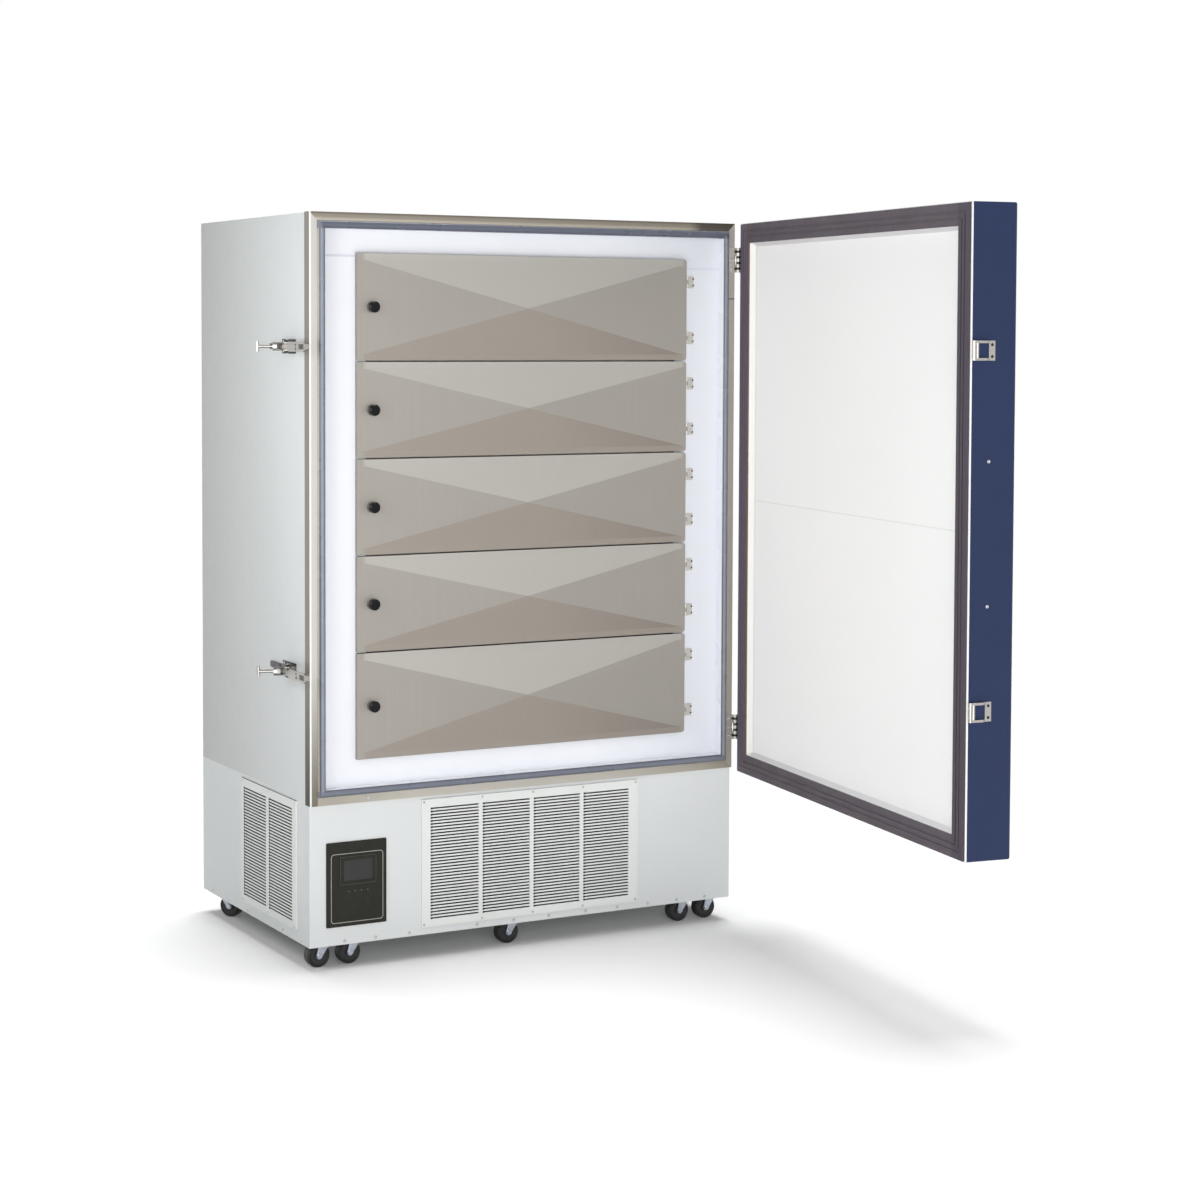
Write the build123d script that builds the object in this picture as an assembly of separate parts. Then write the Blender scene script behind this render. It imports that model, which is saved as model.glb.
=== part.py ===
from build123d import *
import math
import os

# Upright ultra low temperature freezer with one insulated outer door and five inner doors.
# Millimetres. X runs to the right seen from the front, the front faces -Y, +Z is up.
# The origin lies on the floor under the middle of the cabinet. The outer door stands open.

# Cabinet
cabinet_width = 1296.0
cabinet_depth = 816.0
total_height = 1992.0
shell_sheet = 2.0
wall_side = 166.0
wall_back = 140.0
wall_top = 120.0
wall_bottom = 118.0
liner_sheet = 1.5
fit_gap = 0.3

# Base with the machine compartment
base_height = 386.0
base_setback = 8.0
base_sheet = 2.0
deck_rise = 20.0
deck_sheet = 3.0

# Stainless trim round the front edge, the tube gasket and the white surround
trim_sheet = 1.5
trim_face = 22.0
trim_return = 33.0
trim_drop = 10.0
tube_gasket = 20.0
surround_depth = 18.0
surround_sheet = 3.0

# Inner doors with cross-broken fronts
inner_door_count = 5
inner_left_margin = 136.0
inner_right_margin = 156.0
inner_rise = 103.0
inner_drop = 105.0
inner_end_height = 281.0
inner_gap = 4.0
inner_thickness = 12.0
inner_raise = 6.0
inner_corner = 8.0
inner_fold_inset = 16.0
inner_seat_gap = 2.0
shelf_thickness = 18.0
shelf_sheet = 2.0
shelf_setback = 40.0
knob_diameter = 30.0
knob_length = 24.0
knob_stem = 9.0
knob_round = 3.0
knob_inset = 42.0

# Small butt hinges of the inner doors
leaf_height = 34.0
leaf_width = 20.0
leaf_sheet = 2.0
edge_leaf_sheet = 1.5
edge_leaf_inset = 0.5
leaf_inset = 62.0
knuckle_radius = 4.0
knuckle_gap = 0.3
inner_pin_radius = 2.0
pin_clearance = 0.05
inner_axis_offset = 6.0
inner_axis_back = 8.0

# Outer door
door_width = 1312.0
door_lap = 22.0
door_thickness = 130.5
door_sheet = 2.0
door_corner = 10.0
door_edge_strip = 4.5
door_gasket_width = 54.0
door_gasket_height = 5.0
door_gap = 13.4
recess_depth = 14.0
recess_bevel = 10.0
door_liner_sheet = 3.0
door_open_angle = 82.0

# Main hinges
hinge_height = 70.0
hinge_drop = 103.0
hinge_rise = 107.0
hinge_axis_right = 7.0
hinge_axis_front = 6.7
hinge_knuckle_radius = 5.5
hinge_pin_radius = 3.0
hinge_leaf = 2.5
hinge_leaf_length = 40.0
hinge_leaf_width = 20.0
door_edge_right = 8.0

# Side draw latches and their keepers
latch_drop = 350.0
latch_rise = 336.0
latch_pivot_back = 110.0
latch_pivot_out = 18.0
latch_crank = 14.0
latch_lever_length = 78.0
latch_lever_angle = 70.0
latch_rod_radius = 4.0
latch_plate = 2.5
latch_plate_height = 38.0
latch_tail_length = 87.0
latch_tail_height = 15.0
latch_pad_length = 66.0
latch_pad_gap = 17.0
latch_pin_radius = 2.5
crank_pin_radius = 2.0
lever_tee_length = 26.4
latch_ear = 3.0
latch_ear_inside = 26.0
latch_cheek = 3.0
latch_cheek_inside = 16.0
hook_sheet = 3.0
hook_offset = 3.5
hook_half_height = 13.0
hook_lip = 11.0
hook_hole_radius = 8.0
hook_side_gap = 0.5
keeper_height = 47.0
keeper_near = 7.5
keeper_far = 70.0
keeper_rise = 10.0
keeper_bar_radius = 4.5
keeper_bar_spacing = 8.1
keeper_arm = 6.0
keeper_plate_start = 53.0
keeper_play = 1.5

# Louvred grilles
grille_thickness = 3.5
louvre_pitch = 8.5
louvre_slot = 3.8
louvre_drop = 1.3
louvre_margin = 24.0
front_grille_left = 323.0
front_grille_rise = 20.0
front_grille_width = 667.0
grille_height = 346.0
front_columns = 4
front_slot_margin = 30.0
front_column_gap = 15.7
side_grille_front = 95.0
side_grille_width = 405.0
side_columns = 2
side_slot_margin = 26.5
side_column_gap = 26.0
side_grille_rise = 30.0
grille_lap = 12.0

# Control panel
plate_left = 48.0
plate_rise = 49.0
plate_width = 172.0
plate_height = 225.0
plate_thickness = 3.0
plate_corner = 3.0
bezel_left = 38.0
bezel_rise = 110.0
bezel_width = 104.0
bezel_height = 76.0
bezel_thickness = 2.0
bezel_border = 11.0
screen_sink = 0.6

# Casters
wheel_radius = 31.75
wheel_width = 32.0
wheel_round = 4.0
wheel_dish = 2.5
wheel_hub_radius = 12.0
skirt_clearance = 0.5
axle_radius = 4.0
axle_boss_radius = 8.5
caster_trail = 20.0
fork_sheet = 3.0
fork_side_gap = 1.0
caster_plate = 3.0
caster_plate_width = 60.0
race_radius = 22.0
race_height = 7.0
crown_half_length = 18.0
kingpin_radius = 5.0
kingpin_head_radius = 7.5
caster_front_inset = 63.0
caster_left_inset = 64.0
caster_right_inset = 35.0
caster_pair_spacing = 88.0
caster_middle_left = 625.0
caster_rear_inset = 37.0
caster_rear_back = 89.0
caster_front_heading = 180.0
caster_rear_heading = -50.0

# Refrigeration in the base
compressor_radius = 95.0
compressor_height = 270.0
compressor_foot = 24.0
compressor_dome = 32.0
compressor_base = 171.0
compressor_spread = 640.0
compressor_back = 250.0
condenser_width = 590.0
condenser_height = 290.0
condenser_depth = 52.0
condenser_fins = 23
condenser_fin = 8.0
fan_radius = 120.0
fan_hub_radius = 32.0
fan_hub_depth = 42.0
fan_blades = 5
fan_blade_sheet = 3.0
fan_blade_pitch = 32.0
fan_blade_width = 66.0
fan_gap = 24.0
motor_radius = 45.0
motor_length = 80.0
motor_shaft_radius = 6.0
motor_foot = 6.0

# Cable gland in the rear panel
gland_radius = 16.0
gland_length = 14.0
gland_bore = 7.0
gland_rise = 100.0
gland_inset = 130.0

# Places worked out from the sizes above
left = -cabinet_width / 2
right = cabinet_width / 2
front = -cabinet_depth / 2
back = cabinet_depth / 2
side_left = left + trim_sheet
side_right = right - trim_sheet
base_bottom = 2 * wheel_radius + skirt_clearance
base_top = base_bottom + base_height
deck_height = base_bottom + deck_rise
door_bottom = base_top - door_lap
shell_top = total_height - trim_sheet
trim_bottom = base_top - trim_drop
trim_rear = front + trim_return
surround_face = front + surround_depth
surround_rear = surround_face + surround_sheet
inner_bottom = base_top + inner_rise
inner_top = total_height - inner_drop
inner_left = left + inner_left_margin
inner_right = right - inner_right_margin
inner_back_y = surround_face - inner_seat_gap
inner_front_y = inner_back_y - inner_thickness
middle_count = inner_door_count - 2
gap_total = inner_gap * (inner_door_count - 1)
inner_middle_height = (inner_top - inner_bottom - 2 * inner_end_height - gap_total) / middle_count
cavity_left = left + wall_side
cavity_right = right - wall_side - (inner_right_margin - inner_left_margin)
cavity_bottom = base_top + wall_bottom
cavity_top = total_height - wall_top
cavity_back = back - wall_back
base_front = front + base_setback
deck_top = deck_height + deck_sheet
hinge_upper_z = total_height - hinge_drop
hinge_lower_z = base_top + hinge_rise
latch_upper_z = total_height - latch_drop
latch_lower_z = base_top + latch_rise
front_grille_bottom = base_bottom + front_grille_rise
side_grille_bottom = base_bottom + side_grille_rise
plate_bottom = base_bottom + plate_rise
gland_height = base_bottom + gland_rise
hinge_x = right + hinge_axis_right
hinge_y = front - hinge_axis_front
door_right = right + door_edge_right
door_left = door_right - door_width
door_face = front - door_gap
door_front = door_face - door_thickness
latch_x = side_left - latch_pivot_out
latch_y = front + latch_pivot_back
fan_x = left + front_grille_left + front_grille_width / 2
fan_z = deck_top + condenser_height / 2
condenser_front = base_front + base_sheet + fit_gap
condenser_rear = condenser_front + condenser_depth

os.makedirs("parts", exist_ok=True)


# Shared helpers
def block(x0, x1, y0, y1, z0, z1):
    body = Box(x1 - x0, y1 - y0, z1 - z0)
    return Pos((x0 + x1) / 2, (y0 + y1) / 2, (z0 + z1) / 2) * body


def prism_y(points, y0, y1):
    outline = make_face(Polyline(*[(x, y0, z) for x, z in points], close=True))
    return extrude(outline, amount=y1 - y0, dir=(0, 1, 0))


def prism_z(points, z0, z1):
    outline = make_face(Polyline(*[(x, y, z0) for x, y in points], close=True))
    return extrude(outline, amount=z1 - z0, dir=(0, 0, 1))


def prism_x(points, x0, x1):
    outline = make_face(Polyline(*[(x0, y, z) for y, z in points], close=True))
    return extrude(outline, amount=x1 - x0, dir=(1, 0, 0))


def bar_z(x, y, z0, z1, radius):
    return Pos(x, y, (z0 + z1) / 2) * Cylinder(radius, z1 - z0)


def bar_x(x0, x1, y, z, radius):
    return Pos((x0 + x1) / 2, y, z) * Rot(0, 90, 0) * Cylinder(radius, x1 - x0)


def bar_y(x, y0, y1, z, radius):
    return Pos(x, (y0 + y1) / 2, z) * Rot(90, 0, 0) * Cylinder(radius, y1 - y0)


def turned(shape, x, y, angle):
    return Pos(x, y, 0) * Rot(0, 0, angle) * Pos(-x, -y, 0) * shape


def mitred_strips(x0, x1, z0, z1, width, y0, y1):
    """Bottom, right, top and left strips of a frame, mitred at the corners."""
    outer = [(x0, z0), (x1, z0), (x1, z1), (x0, z1)]
    u0, u1 = x0 + width, x1 - width
    v0, v1 = z0 + width, z1 - width
    inner = [(u0, v0), (u1, v0), (u1, v1), (u0, v1)]
    strips = []
    for i in range(4):
        j = (i + 1) % 4
        strips.append(prism_y([outer[i], outer[j], inner[j], inner[i]], y0, y1))
    return strips


def save(name, *shapes):
    solids = []
    for shape in shapes:
        solids.extend(shape.solids())
    export_step(solids[0] if len(solids) == 1 else Compound(children=solids), f"parts/{name}.step")


# Upper cabinet: outer shell, foam, liner and shelves
def cabinet_shell():
    outer = block(side_left, side_right, front + trim_sheet, back, base_top, shell_top)
    hollow = block(side_left + shell_sheet, side_right - shell_sheet, front, back - shell_sheet,
                   base_top + shell_sheet, shell_top - shell_sheet)
    under_trim = block(side_left, side_right, front, trim_rear + fit_gap, shell_top - shell_sheet, shell_top)
    return outer - hollow - under_trim


def liner_box(grow, y0):
    return block(cavity_left - grow, cavity_right + grow, y0, cavity_back + grow,
                 cavity_bottom - grow, cavity_top + grow)


def cabinet_insulation():
    foam = block(side_left + shell_sheet, side_right - shell_sheet, surround_rear, back - shell_sheet,
                 base_top + shell_sheet, shell_top - shell_sheet)
    return foam - liner_box(liner_sheet, front)


def inner_liner():
    return liner_box(liner_sheet, surround_rear) - liner_box(0, front)


def inner_door_spans():
    """Lowest and highest Z of each inner door, from the top one down."""
    heights = [inner_end_height] + [inner_middle_height] * middle_count + [inner_end_height]
    spans = []
    top = inner_top
    for height in heights:
        spans.append((top - height, top))
        top -= height + inner_gap
    return spans


def shelves():
    plates = []
    for low, high in inner_door_spans()[:-1]:
        middle = low - inner_gap / 2
        x0, x1 = cavity_left + fit_gap, cavity_right - fit_gap
        y0, y1 = surround_rear + shelf_setback, cavity_back - fit_gap
        z0, z1 = middle - shelf_thickness / 2, middle + shelf_thickness / 2
        tray = block(x0, x1, y0, y1, z0, z1)
        under = block(x0 + shelf_sheet, x1 - shelf_sheet, y0 + shelf_sheet, y1 - shelf_sheet,
                      z0, z1 - shelf_sheet)
        plates.append(tray - under)
    return plates


# Front frame: white surround, tube gasket and stainless trim
def liner_frame():
    x0 = left + trim_face
    x1 = right - trim_face
    z0 = trim_bottom + trim_face
    z1 = total_height - trim_face
    parts = [block(x0, x1, surround_face, surround_rear, z0, cavity_bottom)]
    parts.append(block(x0, x1, surround_face, surround_rear, cavity_top, z1))
    parts.append(block(x0, cavity_left, surround_face, surround_rear, cavity_bottom, cavity_top))
    parts.append(block(cavity_right, x1, surround_face, surround_rear, cavity_bottom, cavity_top))
    return parts


def cabinet_gasket():
    x0 = left + trim_face + fit_gap
    x1 = right - trim_face - fit_gap
    z0 = trim_bottom + trim_face + fit_gap
    z1 = total_height - trim_face - fit_gap
    radius = tube_gasket / 2
    y = door_face + fit_gap + radius
    flanks = mitred_strips(x0, x1, z0, z1, tube_gasket, y, surround_face)
    fronts = mitred_strips(x0, x1, z0, z1, tube_gasket, y - radius, y + radius)
    bars = [bar_x(x0, x1, y, z0 + radius, radius), bar_z(x1 - radius, y, z0, z1, radius)]
    bars += [bar_x(x0, x1, y, z1 - radius, radius), bar_z(x0 + radius, y, z0, z1, radius)]
    return [flank + (strip & bar) for flank, strip, bar in zip(flanks, fronts, bars)]


def front_trim():
    """Angle strips; the side strips run the full height and the top one is hemmed over the roof."""
    faces = mitred_strips(left, right, trim_bottom, total_height, trim_face, front, front + trim_sheet)
    bottom = block(side_left, side_right, front, base_front - fit_gap, trim_bottom, trim_bottom + trim_sheet)
    right_side = block(side_right, right, front, trim_rear, trim_bottom, total_height)
    top = block(side_left, side_right, front, trim_rear, shell_top - shell_sheet, total_height)
    left_side = block(left, side_left, front, trim_rear, trim_bottom, total_height)
    bottom = faces[0] + bottom - left_side - right_side
    top = faces[2] + top - left_side - right_side
    right_side = faces[1] + right_side - bottom - top
    left_side = faces[3] + left_side - bottom - top
    return [bottom, right_side, top, left_side]


# Base: panels, deck, grilles and control panel
def side_opening_span():
    y0 = front + side_grille_front + grille_lap
    return y0, y0 + side_grille_width - 2 * grille_lap


def base_panels():
    z0 = front_grille_bottom + grille_lap
    z1 = front_grille_bottom + grille_height - grille_lap
    x0 = left + front_grille_left + grille_lap
    x1 = x0 + front_grille_width - 2 * grille_lap
    rear_y = back - base_sheet
    front_panel = block(side_left, side_right, base_front, base_front + base_sheet, base_bottom, base_top)
    front_panel -= block(x0, x1, front, base_front + base_sheet + 1, z0, z1)
    rear_panel = block(side_left, side_right, rear_y, back, base_bottom, base_top)
    rear_panel -= bar_y(right - gland_inset, rear_y - 1, back + 1, gland_height, gland_bore)
    y0, y1 = side_opening_span()
    side_z0 = side_grille_bottom + grille_lap
    side_z1 = side_grille_bottom + grille_height - grille_lap
    sides = []
    for x in (side_left, side_right - base_sheet):
        panel = block(x, x + base_sheet, base_front + base_sheet, rear_y, base_bottom, base_top)
        sides.append(panel - block(x - 1, x + base_sheet + 1, y0, y1, side_z0, side_z1))
    return [front_panel, rear_panel] + sides


def base_deck():
    return block(side_left + base_sheet, side_right - base_sheet, base_front + base_sheet, back - base_sheet,
                 deck_height, deck_top)


def louvred_panel(width, columns, margin, column_gap):
    """Panel facing -Y with its back at Y=0 and its lower left corner at X=0, Z=0."""
    panel = block(0, width, -grille_thickness, 0, 0, grille_height)
    slot_length = (width - 2 * margin - (columns - 1) * column_gap) / columns
    rows = int((grille_height - 2 * louvre_margin) / louvre_pitch) + 1
    first_z = (grille_height - (rows - 1) * louvre_pitch) / 2
    half = louvre_slot / 2
    slots = []
    for row in range(rows):
        z = first_z + row * louvre_pitch
        profile = [(-grille_thickness - 1, z - half - louvre_drop), (1, z - half), (1, z + half)]
        profile.append((-grille_thickness - 1, z + half - louvre_drop))
        for column in range(columns):
            x = margin + column * (slot_length + column_gap)
            slots.append(prism_x(profile, x, x + slot_length))
    return panel - slots


def front_grille():
    panel = louvred_panel(front_grille_width, front_columns, front_slot_margin, front_column_gap)
    return Pos(left + front_grille_left, base_front, front_grille_bottom) * panel


def side_grilles():
    panel = louvred_panel(side_grille_width, side_columns, side_slot_margin, side_column_gap)
    rear_edge = front + side_grille_front + side_grille_width
    on_left = Pos(side_left, rear_edge, side_grille_bottom) * Rot(0, 0, -90) * panel
    on_right = Pos(side_right, front + side_grille_front, side_grille_bottom) * Rot(0, 0, 90) * panel
    return [on_left, on_right]


def control_plate():
    x0 = left + plate_left
    plate = block(x0, x0 + plate_width, base_front - plate_thickness, base_front, plate_bottom,
                  plate_bottom + plate_height)
    return fillet(plate.edges().filter_by(Axis.Y), plate_corner)


def display_bezel():
    x0 = left + plate_left + bezel_left
    z0 = plate_bottom + bezel_rise
    y1 = base_front - plate_thickness
    frame = block(x0, x0 + bezel_width, y1 - bezel_thickness, y1, z0, z0 + bezel_height)
    frame = fillet(frame.edges().filter_by(Axis.Y), plate_corner)
    window = block(x0 + bezel_border, x0 + bezel_width - bezel_border, y1 - bezel_thickness - 1, y1 + 1,
                   z0 + bezel_border, z0 + bezel_height - bezel_border)
    return frame - window


def display_screen():
    x0 = left + plate_left + bezel_left + bezel_border
    z0 = plate_bottom + bezel_rise + bezel_border
    y1 = base_front - plate_thickness
    return block(x0, x0 + bezel_width - 2 * bezel_border, y1 - bezel_thickness + screen_sink, y1,
                 z0, z0 + bezel_height - 2 * bezel_border)


def cord_gland():
    """Bushing in the rear panel where a supply lead would pass through."""
    x = right - gland_inset
    collar = bar_y(x, back, back + gland_length, gland_height, gland_radius)
    collar = chamfer(collar.edges().group_by(Axis.Y)[-1], gland_length / 4)
    return collar - bar_y(x, back - 1, back + gland_length + 1, gland_height, gland_bore)


# Refrigeration: two compressors of the cascade, condenser and fan
def compressors():
    cans = []
    for side in (-1, 1):
        x = fan_x + side * compressor_spread / 2
        y = back - compressor_back
        foot = compressor_foot
        can = bar_z(x, y, deck_top + foot, deck_top + compressor_height, compressor_radius)
        can = chamfer(can.edges().filter_by(GeomType.CIRCLE), compressor_dome)
        reach = compressor_base / 2
        base = block(x - reach, x + reach, y - reach, y + reach, deck_top + foot / 2, deck_top + foot * 1.5)
        can += chamfer(base.edges().filter_by(Axis.Z), compressor_dome)
        inset = reach - foot
        for dx, dy in ((-inset, -inset), (-inset, inset), (inset, -inset), (inset, inset)):
            can += bar_z(x + dx, y + dy, deck_top, deck_top + foot, foot / 2)
        cans.append(can)
    return cans


def condenser():
    """Finned coil that stands on the deck behind the front grille."""
    x0 = fan_x - condenser_width / 2
    x1 = fan_x + condenser_width / 2
    z1 = deck_top + condenser_height
    body = block(x0, x1, condenser_front, condenser_rear, deck_top, z1)
    pitch = (condenser_width - condenser_fin) / condenser_fins
    grooves = []
    for i in range(condenser_fins):
        x = x0 + condenser_fin + i * pitch
        groove_rear = condenser_front + condenser_depth / 2
        grooves.append(block(x, x + pitch - condenser_fin, condenser_front - 1, groove_rear,
                             deck_top + condenser_fin, z1 - condenser_fin))
    return body - grooves


def fan_motor():
    y0 = condenser_rear + fan_gap + fan_hub_depth
    y1 = y0 + motor_length
    motor = bar_y(fan_x, y0 + fit_gap, y1, fan_z, motor_radius)
    motor += bar_y(fan_x, condenser_rear + fan_gap, y1, fan_z, motor_shaft_radius)
    post = block(fan_x - motor_radius, fan_x + motor_radius, y1 - motor_foot, y1, deck_top, fan_z)
    foot = block(fan_x - motor_radius, fan_x + motor_radius, y0, y1, deck_top, deck_top + motor_foot)
    return motor + post + foot


def fan_rotor():
    y0 = condenser_rear + fan_gap
    rotor = bar_y(fan_x, y0, y0 + fan_hub_depth, fan_z, fan_hub_radius)
    reach = (fan_radius + fan_hub_radius / 2) / 2
    length = fan_radius - fan_hub_radius / 2
    for i in range(fan_blades):
        blade = Rot(0, 0, fan_blade_pitch) * Box(fan_blade_width, fan_blade_sheet, length)
        spoke = Rot(0, i * 360 / fan_blades, 0) * Pos(0, 0, reach) * blade
        rotor += Pos(fan_x, y0 + fan_hub_depth / 2, fan_z) * spoke
    bore = bar_y(fan_x, y0 - fan_radius, y0 + fan_radius, fan_z, motor_shaft_radius + pin_clearance)
    return rotor - bore


# Main hinges: fixed leaves with pins on the cabinet, turning leaves on the outer door
def hinge_spans(middle):
    third = hinge_height / 3
    low = middle - hinge_height / 2
    return [(low, low + third), (low + third + knuckle_gap, low + 2 * third - knuckle_gap),
            (low + 2 * third, low + hinge_height)]


def cabinet_hinges():
    leaves = []
    for middle in (hinge_upper_z, hinge_lower_z):
        lower, turning, upper = hinge_spans(middle)
        leaf = block(right - hinge_leaf_width, right, front - hinge_leaf, front, lower[0], upper[1])
        for span in (lower, upper):
            leaf += block(right - hinge_leaf, hinge_x, front - hinge_leaf, front, *span)
            leaf += bar_z(hinge_x, hinge_y, *span, hinge_knuckle_radius)
        leaf += bar_z(hinge_x, hinge_y, lower[0], upper[1], hinge_pin_radius)
        leaves.append(leaf)
    return leaves


def closed_door_hinges():
    leaves = []
    edge = door_right + hinge_leaf
    for middle in (hinge_upper_z, hinge_lower_z):
        lower, turning, upper = hinge_spans(middle)
        leaf = block(door_right, edge, door_face - hinge_leaf_length, door_face, lower[0], upper[1])
        leaf += block(door_right, edge, door_face, hinge_y, *turning)
        leaf += bar_z(hinge_x, hinge_y, *turning, hinge_knuckle_radius)
        leaf -= bar_z(hinge_x, hinge_y, lower[0], upper[1], hinge_pin_radius + pin_clearance)
        leaves.append(leaf)
    return leaves


# Outer door, drawn closed and then swung open
def door_skin():
    outer = block(door_left, door_right, door_front, door_face - door_gasket_height - door_edge_strip,
                  door_bottom, total_height)
    outer = fillet(outer.faces().sort_by(Axis.Y)[0].edges(), door_corner)
    hollow = block(door_left + door_sheet, door_right - door_sheet, door_front + door_sheet, door_face,
                   door_bottom + door_sheet, total_height - door_sheet)
    return outer - fillet(hollow.faces().sort_by(Axis.Y)[0].edges(), door_corner - door_sheet)


def recess_cut(y_face, grow):
    """Shallow tray with bevelled sides, open towards the cabinet."""
    edge = door_gasket_width + door_sheet
    x0, x1 = door_left + edge, door_right - edge
    z0, z1 = door_bottom + edge, total_height - edge
    mouth = Plane((0, y_face, 0), x_dir=(1, 0, 0), z_dir=(0, -1, 0))
    floor = Plane((0, y_face - recess_depth, 0), x_dir=(1, 0, 0), z_dir=(0, -1, 0))
    middle = Pos((x0 + x1) / 2, (z0 + z1) / 2)
    wide = mouth * middle * Rectangle(x1 - x0 + 2 * grow, z1 - z0 + 2 * grow)
    shrink = 2 * grow - 2 * recess_bevel
    narrow = floor * middle * Rectangle(x1 - x0 + shrink, z1 - z0 + shrink)
    return loft([wide, narrow])


def door_liner():
    """White inner panel: a tray whose flange lies under the gasket and closes the door's edge."""
    y1 = door_face - door_gasket_height
    flange = block(door_left, door_right, y1 - door_edge_strip, y1, door_bottom, total_height)
    tray = recess_cut(y1, door_liner_sheet)
    tray = Pos(0, -door_liner_sheet, 0) * tray
    return flange + tray - recess_cut(y1, 0)


def door_insulation():
    y1 = door_face - door_gasket_height - door_edge_strip
    foam = block(door_left + door_sheet, door_right - door_sheet, door_front + door_sheet, y1,
                 door_bottom + door_sheet, total_height - door_sheet)
    foam = fillet(foam.faces().sort_by(Axis.Y)[0].edges(), door_corner - door_sheet)
    tray = Pos(0, -door_liner_sheet, 0) * recess_cut(door_face - door_gasket_height, door_liner_sheet)
    return foam - tray


def door_gasket():
    """Flat rubber gasket in four mitred strips with two grooves along each."""
    y0 = door_face - door_gasket_height
    x0, x1 = door_left + door_sheet, door_right - door_sheet
    z0, z1 = door_bottom + door_sheet, total_height - door_sheet
    strips = mitred_strips(x0, x1, z0, z1, door_gasket_width, y0, door_face)
    groove = door_gasket_width / 9
    depth = door_gasket_height / 3
    for inset in (3 * groove, 5.5 * groove):
        cuts = mitred_strips(x0 + inset, x1 - inset, z0 + inset, z1 - inset, groove,
                             door_face - depth, door_face + 1)
        strips = [strip - cut for strip, cut in zip(strips, cuts)]
    return strips


def at_keeper(points):
    """Depth behind the gasket's face and height above the door's free edge, as X and Y."""
    return [(door_left - out, door_face - depth) for depth, out in points]


def keepers():
    """Stirrups on the door's free edge that the hooks pull on."""
    half = keeper_height / 2
    under = keeper_rise - hook_sheet
    near = keeper_near + keeper_bar_radius
    start = keeper_plate_start
    plate = [(keeper_far, 0), (keeper_far, latch_plate), (start, latch_plate), (start, 0)]
    arm = [(start + latch_plate, 0), (start + latch_plate, latch_plate), (start - keeper_rise, keeper_rise)]
    arm += [(near, keeper_rise), (near, under), (start - keeper_rise, under), (start, 0)]
    clips = []
    for z in (latch_upper_z, latch_lower_z):
        clip = prism_z(at_keeper(plate), z - half, z + half)
        for low in (z - half, z + half - keeper_arm):
            clip += prism_z(at_keeper(arm), low, low + keeper_arm)
        for depth in (near, near + keeper_bar_spacing):
            bar_x0, bar_y0 = at_keeper([(depth, keeper_rise - keeper_bar_radius)])[0]
            clip += bar_z(bar_x0, bar_y0, z - half, z + half, keeper_bar_radius)
        clips.append(clip)
    return clips


def opened(shapes):
    return [turned(shape, hinge_x, hinge_y, door_open_angle) for shape in shapes]


# Inner doors with knobs and hinges
def inner_door_panel(low, high):
    slab = block(inner_left, inner_right, inner_front_y, inner_back_y, low, high)
    hinge_side = slab.edges().filter_by(Axis.Y).sort_by(Axis.X)[-2:]
    slab = fillet(hinge_side, inner_corner)
    face = Plane((0, inner_front_y, 0), x_dir=(1, 0, 0), z_dir=(0, -1, 0))
    middle_x = (inner_left + inner_right) / 2
    middle_z = (low + high) / 2
    width = inner_right - inner_left - 2 * inner_fold_inset
    outline = face * Pos(middle_x, middle_z) * Rectangle(width, high - low - 2 * inner_fold_inset)
    peak = Vertex(middle_x, inner_front_y - inner_raise, middle_z)
    return slab + loft([outline, peak])


def inner_knob(low, high):
    """Turned knob on a stem, seated on the sloping facet at the free edge."""
    radius = knob_diameter / 2
    under = knob_length / 3
    profile = [(0, 0), (knob_stem, 0), (knob_stem, under), (radius, under + knob_round)]
    profile += [(radius, knob_length - knob_round), (radius - knob_round, knob_length), (0, knob_length)]
    outline = make_face(Polyline(*[(r, 0, h) for r, h in profile], close=True))
    knob = revolve(outline, Axis.Z, 360)
    run = (inner_right - inner_left) / 2 - inner_fold_inset
    raised = (knob_inset + knob_stem - inner_fold_inset) / run * inner_raise
    return Pos(inner_left + knob_inset, inner_front_y - raised, (low + high) / 2) * Rot(90, 0, 0) * knob


def leaf_middles(low, high):
    return [low + leaf_inset, high - leaf_inset]


def leaf_spans(middle):
    third = leaf_height / 3
    low = middle - leaf_height / 2
    return [(low, low + third - knuckle_gap), (low + third, low + 2 * third),
            (low + 2 * third + knuckle_gap, low + leaf_height)]


inner_axis_x = inner_right + inner_axis_offset
inner_axis_y = inner_front_y + inner_axis_back


def inner_door_leaves(low, high):
    leaves = []
    for middle in leaf_middles(low, high):
        span = leaf_spans(middle)[1]
        whole = (middle - leaf_height / 2, middle + leaf_height / 2)
        leaf = block(inner_right, inner_right + edge_leaf_sheet, inner_front_y + edge_leaf_inset,
                     inner_back_y - edge_leaf_inset, *whole)
        web = leaf_sheet / 2
        leaf += block(inner_right, inner_axis_x, inner_axis_y - web, inner_axis_y + web, *span)
        leaf += bar_z(inner_axis_x, inner_axis_y, *span, knuckle_radius)
        leaf -= bar_z(inner_axis_x, inner_axis_y, *whole, inner_pin_radius + pin_clearance)
        leaves.append(leaf)
    return leaves


def frame_leaves():
    leaves = []
    for low, high in inner_door_spans():
        for middle in leaf_middles(low, high):
            bottom, turning, top = leaf_spans(middle)
            web_x = inner_axis_x + knuckle_radius
            leaf = block(web_x - leaf_sheet, web_x + leaf_width, surround_face - leaf_sheet, surround_face,
                         bottom[0], top[1])
            for span in (bottom, top):
                leaf += block(web_x - leaf_sheet, web_x, inner_axis_y, surround_face, *span)
                leaf += bar_z(inner_axis_x, inner_axis_y, *span, knuckle_radius)
            leaf += bar_z(inner_axis_x, inner_axis_y, bottom[0], top[1], inner_pin_radius)
            leaves.append(leaf)
    return leaves


# Side draw latches, levers swung out as in use
def on_side(out, y):
    return side_left - out, front + y


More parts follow.
